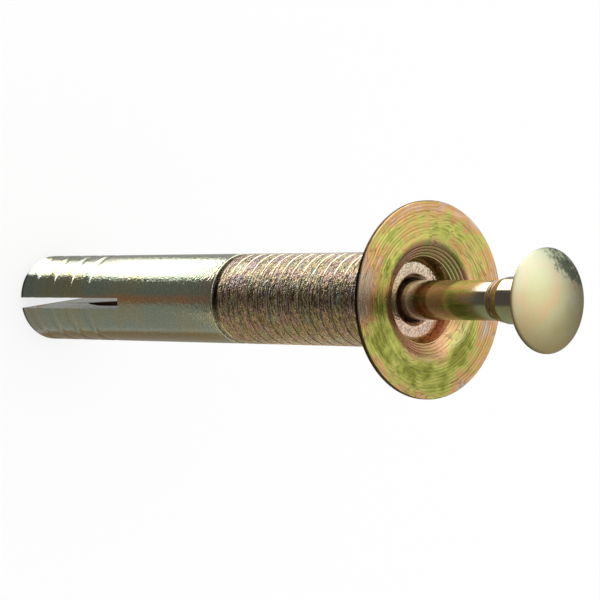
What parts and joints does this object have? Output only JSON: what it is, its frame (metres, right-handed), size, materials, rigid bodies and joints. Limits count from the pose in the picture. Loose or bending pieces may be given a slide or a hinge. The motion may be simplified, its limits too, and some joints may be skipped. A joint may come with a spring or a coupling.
{
  "type": "drive anchor",
  "caption": "Steel drive anchor: split expansion sleeve with a ribbed band, countersunk dished collar and a domed nail that hammers down its bore.",
  "frame": {"origin": "centre of the sawn tip face, which is also the bottom of the part's box", "axes": "+Z along the common axis of sleeve, collar and nail, from the split tip towards the nail head; the saw cut lies in the YZ plane"},
  "size_m": [0.0195, 0.0194, 0.0787],
  "materials": {
    "sleeve_zinc": "yellow-passivated zinc plate on turned steel, glossy on the shank and grainy on the ribbed band",
    "collar_zinc": "yellow-green passivated zinc plate over turning rings, with orange and pink tints",
    "nail_zinc": "pale yellow-passivated zinc plate on drawn and headed steel"
  },
  "bodies": {
    "sleeve_body": {"split_sleeve": "sleeve_zinc", "dished_collar": "collar_zinc"},
    "nail_body": {"drive_nail": "nail_zinc"}
  },
  "joints": [
    {"name": "nail_drive", "type": "slide", "parent": "sleeve_body", "child": "nail_body", "axis": [0, 0, -1], "range_m": [0, 0.01597]}
  ]
}
